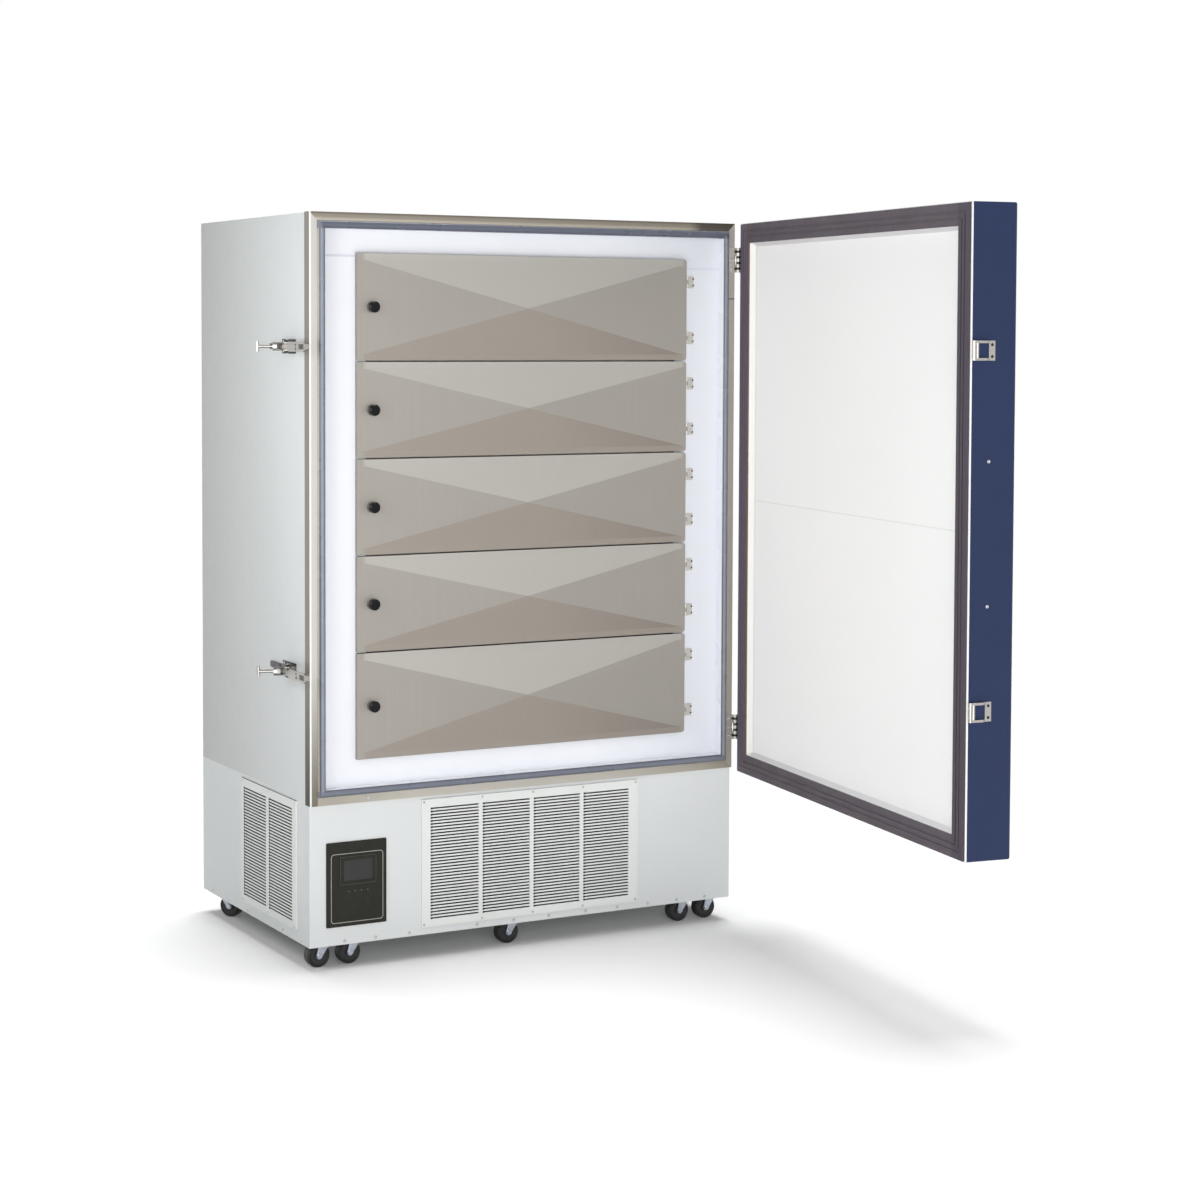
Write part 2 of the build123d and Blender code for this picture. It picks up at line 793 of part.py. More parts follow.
def latch_bases():
    bases = []
    half = latch_plate_height / 2
    ear_in = latch_ear_inside / 2
    plate_end = latch_y + latch_lever_length - fit_gap
    tail_end = plate_end + latch_tail_length
    for z in (latch_upper_z, latch_lower_z):
        x0, x1 = side_left - latch_plate, side_left
        plate_front = latch_y - latch_crank
        plate = block(x0, x1, plate_front, plate_end, z - half, z + half)
        plate = fillet(plate.edges().filter_by(Axis.X), latch_ear)
        tail = latch_tail_height / 2
        plate += block(x0, x1, plate_end - latch_ear, tail_end, z - tail, z + tail)
        ear_top = latch_pivot_out + 2 * latch_ear
        ear = [(side_left, plate_front), (side_left, latch_y + 2 * latch_crank)]
        ear_half = latch_crank / 2
        ear += [(side_left - ear_top, latch_y + ear_half), (side_left - ear_top, latch_y - ear_half)]
        for low in (z - ear_in - latch_ear, z + ear_in):
            plate += prism_z(ear, low, low + latch_ear)
        reach = ear_in + latch_ear + latch_plate / 2
        plate += bar_z(latch_x, latch_y, z - reach, z + reach, latch_pin_radius)
        bases.append(plate)
    return bases


def latch_pads():
    """Rubber rest for the lever's end on the tail of each latch base."""
    pads = []
    start = latch_y + latch_lever_length + latch_pad_gap
    half = latch_tail_height / 2
    for z in (latch_upper_z, latch_lower_z):
        pads.append(block(side_left - 2 * latch_plate, side_left - latch_plate,
                          start, start + latch_pad_length, z - half, z + half))
    return pads


def closed_lever(z):
    """Two cheeks on the pivot, a bridge between them, and a rod with a crossbar at its end."""
    half_in = latch_cheek_inside / 2
    half_out = half_in + latch_cheek
    width = latch_crank / 2
    bridge_start = latch_y + 2 * latch_crank
    bridge_end = bridge_start + 1.5 * width
    end = latch_y + latch_lever_length
    tee = lever_tee_length / 2
    lever = block(latch_x - width, latch_x + width, bridge_start, bridge_end, z - half_out, z + half_out)
    for low in (z - half_out, z + half_in):
        lever += block(latch_x - width, latch_x + width, latch_y, bridge_end, low, low + latch_cheek)
        lever += bar_z(latch_x, latch_y, low, low + latch_cheek, width)
    lever += bar_y(latch_x, bridge_start, end, z, latch_rod_radius)
    lever += bar_z(latch_x, end, z - tee, z + tee, latch_rod_radius + fit_gap)
    lever += bar_z(latch_x, latch_y + latch_crank, z - half_out, z + half_out, crank_pin_radius)
    return lever - bar_z(latch_x, latch_y, z - half_out, z + half_out, latch_pin_radius + pin_clearance)


def latch_lever(z):
    return turned(closed_lever(z), latch_x, latch_y, latch_lever_angle)


hook_turn = math.radians(latch_lever_angle)
hook_x = latch_x - latch_crank * math.sin(hook_turn)
hook_y = latch_y + latch_crank * math.cos(hook_turn)
keeper_depth = keeper_near + keeper_bar_spacing + 2 * keeper_bar_radius
hook_reach = latch_pivot_back + latch_crank + door_gap + keeper_depth + keeper_play


def latch_hook(z):
    """Hook with its eye on the lever's crank pin and its lip turned in over the keeper's bar."""
    x1 = hook_x - hook_offset
    x0 = x1 - hook_sheet
    slim = latch_cheek_inside / 2 - hook_side_gap
    wide_start = hook_y - 4 * latch_crank
    tip = hook_y - hook_reach - hook_sheet
    hook = bar_z(hook_x, hook_y, z - slim, z + slim, hook_offset + hook_sheet / 2)
    hook += block(x0, x1, wide_start - latch_crank, hook_y, z - slim, z + slim)
    plate = block(x0, x1, tip, wide_start, z - hook_half_height, z + hook_half_height)
    lip = hook_half_height / 2
    plate = fillet(plate.edges().filter_by(Axis.X), lip)
    hook += plate
    hook += block(x0, x1 + hook_lip, tip, tip + hook_sheet, z - lip, z + lip)
    hook -= bar_x(x0, x1, (tip + wide_start) / 2, z, hook_hole_radius)
    return hook - bar_z(hook_x, hook_y, z - slim, z + slim, crank_pin_radius + pin_clearance)


# Casters: fixed plate with kingpin, swivelling fork and wheel
def caster_places():
    """Swivel axis X, Y and the direction in which each wheel trails, in degrees."""
    row = front + caster_front_inset
    rear = back - caster_rear_back
    first = left + caster_left_inset
    last = right - caster_right_inset
    return {
        "front_left_outer": (first, row, caster_front_heading),
        "front_left_inner": (first + caster_pair_spacing, row, caster_front_heading),
        "front_middle": (left + caster_middle_left, row, caster_front_heading),
        "front_right_inner": (last - caster_pair_spacing, row, caster_front_heading),
        "front_right_outer": (last, row, caster_front_heading),
        "rear_left": (left + caster_rear_inset, rear, caster_rear_heading),
        "rear_right": (right - caster_rear_inset, rear, caster_rear_heading),
    }


race_top = deck_height - caster_plate - knuckle_gap
race_bottom = race_top - race_height
crown_bottom = race_bottom - fork_sheet


def caster_plates():
    mounts = []
    half = caster_plate_width / 2
    for x, y, heading in caster_places().values():
        mount = block(x - half, x + half, y - half, y + half, deck_height - caster_plate, deck_height)
        mount += bar_z(x, y, crown_bottom - fork_sheet, deck_height, kingpin_radius)
        mount += bar_z(x, y, crown_bottom - fork_sheet, crown_bottom - knuckle_gap, kingpin_head_radius)
        mounts.append(mount)
    return mounts


def caster_fork():
    """Fork round the swivel axis, its wheel trailing towards +X."""
    inside = wheel_width / 2 + fork_side_gap
    outside = inside + fork_sheet
    fork = bar_z(0, 0, race_bottom, race_top, race_radius)
    fork += block(-crown_half_length, crown_half_length, -outside, outside, crown_bottom, race_bottom)
    boss = axle_boss_radius
    leg = [(-crown_half_length, race_bottom), (crown_half_length, race_bottom)]
    leg += [(caster_trail + boss, wheel_radius), (caster_trail - boss, wheel_radius)]
    for y0 in (-outside, inside):
        fork += prism_y(leg, y0, y0 + fork_sheet)
        fork += bar_y(caster_trail, y0, y0 + fork_sheet, wheel_radius, boss)
    nut = outside + fork_sheet
    fork += bar_y(caster_trail, -nut, nut, wheel_radius, axle_radius)
    return fork - bar_z(0, 0, crown_bottom - 1, race_top + 1, kingpin_radius + pin_clearance)


def caster_wheel():
    """Solid rubber wheel with a raised hub, dished sides and eased tread corners."""
    half = wheel_width / 2
    rim = wheel_radius - 2 * wheel_round
    side = [(axle_radius + pin_clearance, half), (wheel_hub_radius, half)]
    side += [(wheel_hub_radius, half - wheel_dish), (rim, half - wheel_dish)]
    side += [(rim + wheel_dish, half), (wheel_radius - wheel_round, half), (wheel_radius, half - wheel_round)]
    outline = side + [(r, -h) for r, h in reversed(side)]
    face = make_face(Polyline(*[(r, 0, h) for r, h in outline], close=True))
    wheel = revolve(face, Axis.Z, 360)
    return Pos(caster_trail, 0, wheel_radius) * Rot(90, 0, 0) * wheel


# Write every node
save("cabinet_shell", cabinet_shell())
save("cabinet_insulation", cabinet_insulation())
save("inner_liner", inner_liner())
save("shelves", *shelves())
save("liner_frame", *liner_frame())
save("cabinet_gasket", *cabinet_gasket())
save("front_trim", *front_trim())
save("base_panels", *base_panels())
save("base_deck", base_deck())
save("front_grille", front_grille())
save("side_grilles", *side_grilles())
save("control_plate", control_plate())
save("display_bezel", display_bezel())
save("display_screen", display_screen())
save("cord_gland", cord_gland())
save("compressors", *compressors())
save("condenser", condenser())
save("fan_motor", fan_motor())
save("fan_rotor", fan_rotor())
save("cabinet_hinges", *cabinet_hinges())
save("inner_hinge_leaves", *frame_leaves())
save("latch_bases", *latch_bases())
save("latch_pads", *latch_pads())
save("caster_plates", *caster_plates())

save("door_skin", *opened([door_skin()]))
save("door_insulation", *opened([door_insulation()]))
save("door_liner", *opened([door_liner()]))
save("door_gasket", *opened(door_gasket()))
save("door_hinges", *opened(closed_door_hinges()))
save("keepers", *opened(keepers()))

for number, (low, high) in enumerate(inner_door_spans(), start=1):
    save(f"inner_door_{number}", inner_door_panel(low, high), *inner_door_leaves(low, high))
    save(f"inner_knob_{number}", inner_knob(low, high))

for place, z in (("upper", latch_upper_z), ("lower", latch_lower_z)):
    save(f"{place}_latch_lever", latch_lever(z))
    save(f"{place}_latch_hook", latch_hook(z))

for place, (x, y, heading) in caster_places().items():
    seat = Pos(x, y, 0) * Rot(0, 0, heading)
    save(f"{place}_fork", seat * caster_fork())
    save(f"{place}_wheel", seat * caster_wheel())
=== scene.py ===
import math
import bmesh
import bpy
from mathutils import Matrix, Vector


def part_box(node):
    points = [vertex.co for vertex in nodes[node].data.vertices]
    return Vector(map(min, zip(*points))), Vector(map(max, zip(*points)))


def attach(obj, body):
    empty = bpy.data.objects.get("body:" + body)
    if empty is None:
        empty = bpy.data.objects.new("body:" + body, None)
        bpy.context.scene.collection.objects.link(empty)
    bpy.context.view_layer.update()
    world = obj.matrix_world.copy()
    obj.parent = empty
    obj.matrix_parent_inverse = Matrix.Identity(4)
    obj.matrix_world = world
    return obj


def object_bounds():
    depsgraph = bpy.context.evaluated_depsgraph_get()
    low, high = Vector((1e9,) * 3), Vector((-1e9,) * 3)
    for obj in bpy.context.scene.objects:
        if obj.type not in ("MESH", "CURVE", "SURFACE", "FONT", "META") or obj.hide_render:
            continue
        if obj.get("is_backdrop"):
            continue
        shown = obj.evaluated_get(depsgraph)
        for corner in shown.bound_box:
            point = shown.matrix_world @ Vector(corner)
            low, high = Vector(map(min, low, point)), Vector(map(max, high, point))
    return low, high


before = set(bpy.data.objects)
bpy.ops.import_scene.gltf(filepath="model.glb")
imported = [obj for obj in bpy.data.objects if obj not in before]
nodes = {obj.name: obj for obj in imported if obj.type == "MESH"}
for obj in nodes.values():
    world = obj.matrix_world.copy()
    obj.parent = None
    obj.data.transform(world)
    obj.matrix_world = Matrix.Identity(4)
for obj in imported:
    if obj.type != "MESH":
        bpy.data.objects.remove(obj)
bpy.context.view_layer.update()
scene = bpy.context.scene
mm = 0.001
front_way = Vector((0, -1, 0))
left_way = Vector((-1, 0, 0))


# Materials
class Shader:
    """A principled material with short helpers for procedural detail."""

    def __init__(self, name, roughness=0.5, metallic=0.0):
        self.material = bpy.data.materials.new(name)
        self.material.use_nodes = True
        self.tree = self.material.node_tree
        self.bsdf = self.tree.nodes["Principled BSDF"]
        self.bsdf.inputs["Roughness"].default_value = roughness
        self.bsdf.inputs["Metallic"].default_value = metallic
        self.coords = self.add("ShaderNodeTexCoord").outputs["Object"]

    def add(self, kind, **values):
        node = self.tree.nodes.new(kind)
        for key, value in values.items():
            setattr(node, key, value)
        return node

    def link(self, source, target):
        self.tree.links.new(source, target)

    def noise(self, scale, detail=3.0, stretch=(1, 1, 1)):
        mapping = self.add("ShaderNodeMapping")
        mapping.inputs["Scale"].default_value = stretch
        self.link(self.coords, mapping.inputs["Vector"])
        texture = self.add("ShaderNodeTexNoise")
        texture.inputs["Scale"].default_value = scale
        texture.inputs["Detail"].default_value = detail
        self.link(mapping.outputs["Vector"], texture.inputs["Vector"])
        return texture.outputs["Fac"]

    def remap(self, value, low, high, to_low, to_high):
        node = self.add("ShaderNodeMapRange")
        limits = {"From Min": low, "From Max": high, "To Min": to_low, "To Max": to_high}
        for key, number in limits.items():
            node.inputs[key].default_value = number
        self.link(value, node.inputs["Value"])
        return node.outputs["Result"]

    def rise(self, value, low, high, top=1.0):
        """Nought below the low end, the top value above the high end."""
        return self.remap(value, low, high, 0.0, top)

    def fall(self, value, low, high, top=1.0):
        """The top value below the low end, nought above the high end."""
        return self.remap(value, low, high, top, 0.0)

    def maths(self, operation, a, b):
        node = self.add("ShaderNodeMath", operation=operation)
        for socket, value in ((node.inputs[0], a), (node.inputs[1], b)):
            if isinstance(value, (int, float)):
                socket.default_value = value
            else:
                self.link(value, socket)
        return node.outputs["Value"]

    def difference(self, a, b):
        return self.maths("SUBTRACT", a, b)

    def magnitude(self, value):
        return self.maths("ABSOLUTE", value, 0.0)

    def product(self, first, *others):
        for other in others:
            first = self.maths("MULTIPLY", first, other)
        return first

    def axis(self, name):
        node = self.add("ShaderNodeSeparateXYZ")
        self.link(self.coords, node.inputs["Vector"])
        return node.outputs[name]

    def normal(self, name):
        node = self.add("ShaderNodeSeparateXYZ")
        self.link(self.add("ShaderNodeNewGeometry").outputs["Normal"], node.inputs["Vector"])
        return node.outputs[name]

    def mix(self, factor, a, b):
        node = self.add("ShaderNodeMix", data_type="RGBA")
        self.link(factor, node.inputs["Factor"])
        for socket, value in ((node.inputs["A"], a), (node.inputs["B"], b)):
            if isinstance(value, tuple):
                socket.default_value = (*value, 1.0)
            else:
                self.link(value, socket)
        return node.outputs["Result"]

    def two_tone(self, pattern, base, darker, paler):
        """A colour that wanders round the base colour with a pattern."""
        share = self.rise(pattern, 0.3, 0.7)
        return self.mix(share, scaled(base, 1 - darker), scaled(base, 1 + paler))

    def line(self, axis, place, half_width):
        """One on a thin line across an axis, nought elsewhere."""
        away = self.magnitude(self.difference(self.axis(axis), place))
        return self.fall(away, half_width * 0.5, half_width)

    def colour(self, value):
        self.tone = value
        self.link(value, self.bsdf.inputs["Base Color"])

    def tint(self, factor, code):
        """Shades the tone so far towards a colour where the factor is one."""
        self.colour(self.mix(factor, self.tone, linear(code)))

    def roughness(self, value):
        self.link(value, self.bsdf.inputs["Roughness"])

    def bump(self, height, strength, distance):
        node = self.add("ShaderNodeBump")
        node.inputs["Strength"].default_value = strength
        node.inputs["Distance"].default_value = distance
        self.link(height, node.inputs["Height"])
        self.link(node.outputs["Normal"], self.bsdf.inputs["Normal"])


def linear(code):
    """Colour of a hex code as the shader wants it."""
    parts = [int(code[i:i + 2], 16) / 255 for i in (0, 2, 4)]
    return tuple(p / 12.92 if p <= 0.04045 else ((p + 0.055) / 1.055) ** 2.4 for p in parts)


def scaled(rgb, factor):
    return tuple(channel * factor for channel in rgb)


def paint(name, code, roughness=0.4, mottle=0.04, peel=0.06):
    """Sprayed enamel with a fine orange peel and faint uneven tone."""
    shader = Shader(name, roughness)
    shader.colour(shader.two_tone(shader.noise(2.2, 4.0), linear(code), mottle, mottle / 2))
    gloss = shader.noise(35.0)
    shader.roughness(shader.remap(gloss, 0.3, 0.7, roughness - 0.05, roughness + 0.06))
    shader.bump(shader.noise(700.0, 2.0), peel, 0.0004)
    return shader


def steel(name, code, roughness, along, contrast=0.1, metallic=1.0):
    """Brushed metal with grain along one axis."""
    shader = Shader(name, roughness, metallic)
    base = linear(code)
    stretch = [260.0, 260.0, 260.0]
    stretch["XYZ".index(along)] = 4.0
    grain = shader.noise(1.0, 5.0, tuple(stretch))
    cloud = shader.rise(shader.noise(3.0, 3.0), 0.35, 0.65, 0.5)
    tone = shader.two_tone(grain, base, contrast, contrast / 2)
    shader.colour(shader.mix(cloud, tone, scaled(base, 0.94)))
    shader.roughness(shader.remap(grain, 0.25, 0.75, roughness - 0.06, roughness + 0.06))
    shader.bump(grain, 0.05, 0.0003)
    shader.bsdf.inputs["Anisotropic"].default_value = 0.4
    return shader


def plain(name, code, roughness, scale=60.0, contrast=0.1, bump=0.1, metallic=0.0, depth=0.0003):
    """Moulded or rolled material with a fine grain."""
    shader = Shader(name, roughness, metallic)
    shader.colour(shader.two_tone(shader.noise(scale, 4.0), linear(code), contrast, contrast))
    gloss = shader.noise(scale / 5)
    shader.roughness(shader.remap(gloss, 0.3, 0.7, roughness - 0.06, roughness + 0.08))
    shader.bump(shader.noise(scale * 6), bump, depth)
    return shader


white_paint = paint("white_paint", "C6CACA")
base_paint = paint("base_paint", "DDE0E0")
grille_paint = paint("grille_paint", "E6E8E6")
navy_paint = paint("navy_paint", "273456", 0.42, 0.06)
white_plastic = paint("white_plastic", "F4F6FC", 0.45, 0.02, 0.04)
liner_panel = paint("liner_panel", "FAFAFA", 0.5, 0.015, 0.2)
trim_steel = steel("trim_steel", "B9B5AC", 0.42, "Z", 0.04, 0.4)
hinge_steel = steel("hinge_steel", "C4C1B9", 0.35, "Z", 0.05, 0.7)
leaf_steel = steel("leaf_steel", "CCC8C2", 0.35, "Z", 0.05, 0.7)
latch_steel = steel("latch_steel", "B4B1AD", 0.3, "Y", 0.08, 0.9)
latch_dark = steel("latch_dark", "6A6762", 0.35, "Y", 0.08, 0.9)
keeper_steel = steel("keeper_steel", "B5B2AE", 0.25, "Y", 0.08)
door_steel = steel("door_steel", "9D9992", 0.5, "Z", 0.05, 0.5)
shelf_steel = steel("shelf_steel", "A29F9B", 0.4, "X", 0.1, 0.6)
screw_steel = steel("screw_steel", "B9BBBB", 0.3, "X", 0.08)
# Plain dark grey steel for the rosettes behind the knobs
rosette_steel = plain("rosette_steel", "6F6C66", 0.35, 80.0, 0.1, 0.05, 0.6)
zinc = plain("zinc", "AEB4BE", 0.34, 40.0, 0.16, 0.06, 0.9)
pale_zinc = plain("pale_zinc", "BFC2C2", 0.4, 80.0, 0.08, 0.05, 0.3)
galvanised = plain("galvanised", "7A7E80", 0.5, 30.0, 0.2, 0.05, 0.7)
fin_aluminium = plain("fin_aluminium", "2C2D2F", 0.6, 90.0, 0.2, 0.1, 0.3)
tube_rubber = plain("tube_rubber", "868B98", 0.28, 30.0, 0.05, 0.04)
dark_rubber = plain("dark_rubber", "524B52", 0.6, 45.0, 0.08, 0.15)
plate_black = plain("plate_black", "23231C", 0.5, 60.0, 0.15, 0.06)
black_plastic = plain("black_plastic", "0B0B0C", 0.3, 60.0, 0.15, 0.08)
knob_black = plain("knob_black", "060606", 0.2, 60.0, 0.15, 0.03)
wheel_black = plain("wheel_black", "19191B", 0.5, 50.0, 0.2, 0.12)
black_paint = plain("black_paint", "1C1C1E", 0.4, 40.0, 0.15, 0.06)
# Painted shade: a near-black for the insides of holes and louvre openings
hole_shade = plain("hole_shade", "1A1A1B", 0.8, 90.0, 0.1, 0.05)
foam = plain("foam", "DBCB9A", 0.8, 25.0, 0.1, 0.3, 0.0, 0.001)
display_glass = plain("display_glass", "363636", 0.4, 12.0, 0.06, 0.0)
printed = plain("printed_line", "B8B7AF", 0.5, 80.0, 0.08, 0.02)
faint_print = plain("faint_print", "4E4D47", 0.5, 80.0, 0.08, 0.02)
for dull in (navy_paint, plate_black, display_glass, black_plastic, knob_black):
    dull.bsdf.inputs["Specular IOR Level"].default_value = 0.22

# Cross-broken inner doors, painted reflection: the facet that leans up gets a pale painted highlight,
# the one that leans down a dark and warm painted shade
up_facet_highlight = "AFACA6"
down_facet_shade = "948C83"
lean = door_steel.normal("Z")
door_steel.tint(door_steel.rise(lean, 0.01, 0.045, 0.9), up_facet_highlight)
door_steel.tint(door_steel.fall(lean, -0.045, -0.01, 0.9), down_facet_shade)
# Painted shade: the facet that leans down darkens further towards the hinge end
hinge_end_shade = door_steel.rise(door_steel.axis("X"), 0.05, 0.48, 0.6)
door_steel.tint(door_steel.product(hinge_end_shade, door_steel.fall(lean, -0.045, -0.01)), "80776F")

# Their level borders take the painted highlight or painted shade of the facet beside them, and their
# top and bottom edges get painted shade that darkens the gaps between the doors
steepness = door_steel.magnitude(lean)
level = door_steel.fall(steepness, 0.004, 0.010)
share = door_steel.add("ShaderNodeSeparateXYZ")
spread = door_steel.add("ShaderNodeTexCoord").outputs["Generated"]
door_steel.link(spread, share.inputs["Vector"])
height_share = share.outputs["Z"]
from_middle = door_steel.magnitude(door_steel.difference(share.outputs["X"], 0.5))
border = door_steel.product(level, door_steel.fall(from_middle, 0.475, 0.485, 0.9))
door_steel.tint(door_steel.product(border, door_steel.rise(height_share, 0.930, 0.940)), up_facet_highlight)
door_steel.tint(door_steel.product(border, door_steel.fall(height_share, 0.060, 0.070)), down_facet_shade)
door_steel.tint(door_steel.rise(steepness, 0.5, 0.8, 0.95), "1A1917")

# Cabinet sides: painted shade, a little greyer towards the back
shell_low, shell_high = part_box("cabinet_shell")
rear_shade = white_paint.rise(white_paint.axis("Y"), shell_low.y + 0.05, shell_high.y)
sideways = white_paint.rise(white_paint.magnitude(white_paint.normal("X")), 0.5, 0.9)
white_paint.tint(white_paint.product(rear_shade, sideways), "AEB1B0")

# Base: painted shade, its left side darker in the tone of the cabinet's shaded side
for shader, code in ((base_paint, "C8CCCC"), (grille_paint, "D0D3D1")):
    shader.tint(shader.fall(shader.normal("X"), -0.9, -0.5), code)

# Louvres: painted shade keeps the undersides and the backs of the blades dark
slot_shade = "2C2C2B"
slot_wall = grille_paint.magnitude(grille_paint.normal("Z"))
grille_paint.tint(grille_paint.rise(slot_wall, 0.6, 0.8), slot_shade)
grille_paint.tint(grille_paint.rise(grille_paint.normal("Y"), 0.2, 0.5), slot_shade)

# Trim: painted reflection makes the flange turned back along the cabinet's side darker and warmer
# than the one in front
trim_low, trim_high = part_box("front_trim")
trim_face = 0.022
facing_front = trim_steel.fall(trim_steel.normal("Y"), -0.9, -0.5)
turned_back = trim_steel.fall(trim_steel.normal("X"), -0.9, -0.5)
trim_steel.tint(trim_steel.product(turned_back, 0.95), "7C766E")
trim_x = trim_steel.axis("X")
trim_z = trim_steel.axis("Z")
from_left = trim_steel.difference(trim_x, trim_low.x)
from_right = trim_steel.difference(trim_high.x, trim_x)
from_top = trim_steel.difference(trim_high.z, trim_z)
from_foot = trim_steel.difference(trim_z, trim_low.z)
left_strip = (from_left, from_top, from_foot)
right_strip = (from_right, from_top, from_foot)
top_strip = (from_top, from_left, from_right)
foot_strip = (from_foot, from_left, from_right)


def strip_reflection(strip, code, strength, part=1.0):
    """Paints a reflection tone on one strip of the trim up to its mitred ends, or on a part of that
    strip.
    """
    edge, start, finish = strip
    mitre = trim_steel.difference(edge, trim_steel.maths("MINIMUM", start, finish))
    inside = trim_steel.fall(mitre, -0.0005, 0.0005, strength)
    trim_steel.tint(trim_steel.product(inside, part, facing_front), code)


# Painted reflections: each trim strip, and bands within it, toned as its surroundings would mirror in
# it
strip_reflection(left_strip, "C6C3BD", 0.9)
strip_reflection(top_strip, "8A8275", 0.9)
strip_reflection(right_strip, "CCC8BF", 0.9)
strip_reflection(top_strip, "4E463C", 0.8, trim_steel.fall(from_top, 0.0, 0.008))
strip_reflection(top_strip, "CFC7B8", 0.8, trim_steel.rise(from_top, 0.012, 0.020))
strip_reflection(top_strip, "3A332C", 0.8, trim_steel.fall(from_right, 0.11, 0.15))
strip_reflection(right_strip, "BBB4A7", 1.0, trim_steel.remap(trim_z, 0.6, 1.9, 0.95, 0.1))
strip_reflection(foot_strip, "9A9282", 0.7, trim_steel.rise(trim_x, 0.25, 0.60))
strip_reflection(foot_strip, "9A9282", 0.6, trim_steel.fall(trim_x, -0.60, -0.35))

# Trim: the low left end is brown in painted reflection with painted shade on its return, the left
# fold gets a painted highlight, and the right strip has a splice
low_end = trim_steel.fall(trim_z, 0.47, 0.80, 0.9)
left_face = trim_steel.fall(from_left, trim_face - 0.0005, trim_face + 0.0005)
trim_steel.tint(trim_steel.product(low_end, left_face, facing_front), "6A6154")
trim_steel.tint(trim_steel.product(low_end, turned_back), "211F1B")
fold_highlight = trim_steel.line("X", trim_low.x, 0.006)
trim_steel.tint(trim_steel.product(fold_highlight, facing_front), "F4F4F2")
splice_height = 1.7794
splice = trim_steel.line("Z", splice_height, 0.0022)
trim_steel.tint(trim_steel.product(splice, trim_steel.rise(trim_x, 0.0, 0.1, 0.8)), "3A3833")

# Main hinges: dark joints between the knuckles, and a painted highlight on the fixed leaves, strong
# on the upper one and faint on the lower
hinge_low, hinge_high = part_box("cabinet_hinges")
hinge_half = 0.035
hinge_heights = (hinge_high.z - hinge_half, hinge_low.z + hinge_half)
hinge_x = hinge_steel.axis("X")
knuckles = hinge_steel.rise(hinge_x, trim_high.x - 0.003, trim_high.x - 0.001)
for height in hinge_heights:
    for step in (-0.024, -0.008, 0.008, 0.024):
        joint = hinge_steel.line("Z", height + step, 0.0045)
        hinge_steel.tint(hinge_steel.product(joint, knuckles), "2E2C29")
leaf_front = hinge_steel.fall(hinge_steel.normal("Y"), -0.95, -0.85)
leaf_part = hinge_steel.fall(hinge_x, trim_high.x - 0.004, trim_high.x - 0.002)
leaf_highlight = hinge_steel.remap(hinge_steel.axis("Z"), 1.0, 1.5, 0.25, 0.9)
hinge_steel.tint(hinge_steel.product(leaf_front, leaf_part, leaf_highlight), "F4EEE2")

# Latches: painted shade on the edges that face up and down
latch_heights = []
for place in ("upper", "lower"):
    low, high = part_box(f"{place}_latch_lever")
    latch_heights.append((low.z + high.z) / 2)
for shader in (latch_steel, latch_dark):
    upright = shader.magnitude(shader.normal("Z"))
    shader.tint(shader.rise(upright, 0.3, 0.6, 0.9), "302E2B")


def from_latch(shader):
    """Height above or below the middle of the nearer latch."""
    nearest = 1.0
    for height in latch_heights:
        away = shader.magnitude(shader.difference(shader.axis("Z"), height))
        nearest = shader.maths("MINIMUM", away, nearest)
    return nearest


# Latches: dark ears on the base in painted reflection, dark cheeks on the lever in painted shade, and
# painted shade in the hollow of the hook
latch_dark.tint(latch_dark.rise(from_latch(latch_dark), 0.0115, 0.0130, 0.9), "262422")
lever_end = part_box("upper_latch_lever")[0].x
latch_away = from_latch(latch_steel)
latch_x = latch_steel.axis("X")
off_middle = latch_steel.rise(latch_away, 0.0040, 0.0050, 0.9)
cheek_end = latch_steel.rise(latch_x, lever_end + 0.010, lever_end + 0.011)
cheek_start = latch_steel.fall(latch_x, lever_end + 0.066, lever_end + 0.067)
cheek_back = latch_steel.rise(latch_steel.axis("Y"), trim_low.y + 0.100, trim_low.y + 0.102)
latch_steel.tint(latch_steel.product(off_middle, cheek_end, cheek_start, cheek_back), "35322F")
hook_hollow_shade = latch_steel.fall(latch_away, 0.0065, 0.0075, 0.9)
hollow_length = latch_steel.line("Y", trim_low.y - 0.033, 0.022)
latch_steel.tint(latch_steel.product(hook_hollow_shade, hollow_length), "3B322E")

# Tube gasket: pale along its crest with painted shade beside it, a painted highlight on the flanks
# that face up, flanks in a painted reflection of what they meet, and painted shade along the top and
# bottom strips
tube_low, tube_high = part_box("cabinet_gasket")
tube_x = tube_rubber.axis("X")
tube_z = tube_rubber.axis("Z")
tube_rubber.tint(tube_rubber.rise(tube_rubber.normal("Y"), -0.97, -0.72), "474952")
tube_rubber.tint(tube_rubber.rise(tube_rubber.normal("Z"), 0.80, 0.95), "EEF0F6")
flank = tube_rubber.fall(tube_rubber.normal("X"), -0.95, -0.80)
tube_rubber.tint(tube_rubber.product(flank, tube_rubber.rise(tube_x, -0.01, 0.01)), "E6E9F0")
tube_rubber.tint(tube_rubber.product(flank, tube_rubber.fall(tube_x, -0.01, 0.01)), "A9A59E")
tube_rubber.tint(tube_rubber.rise(tube_z, tube_high.z - 0.022, tube_high.z - 0.020, 0.8), "525767")
tube_rubber.tint(tube_rubber.fall(tube_z, tube_low.z + 0.016, tube_low.z + 0.018, 0.6), "5F6473")

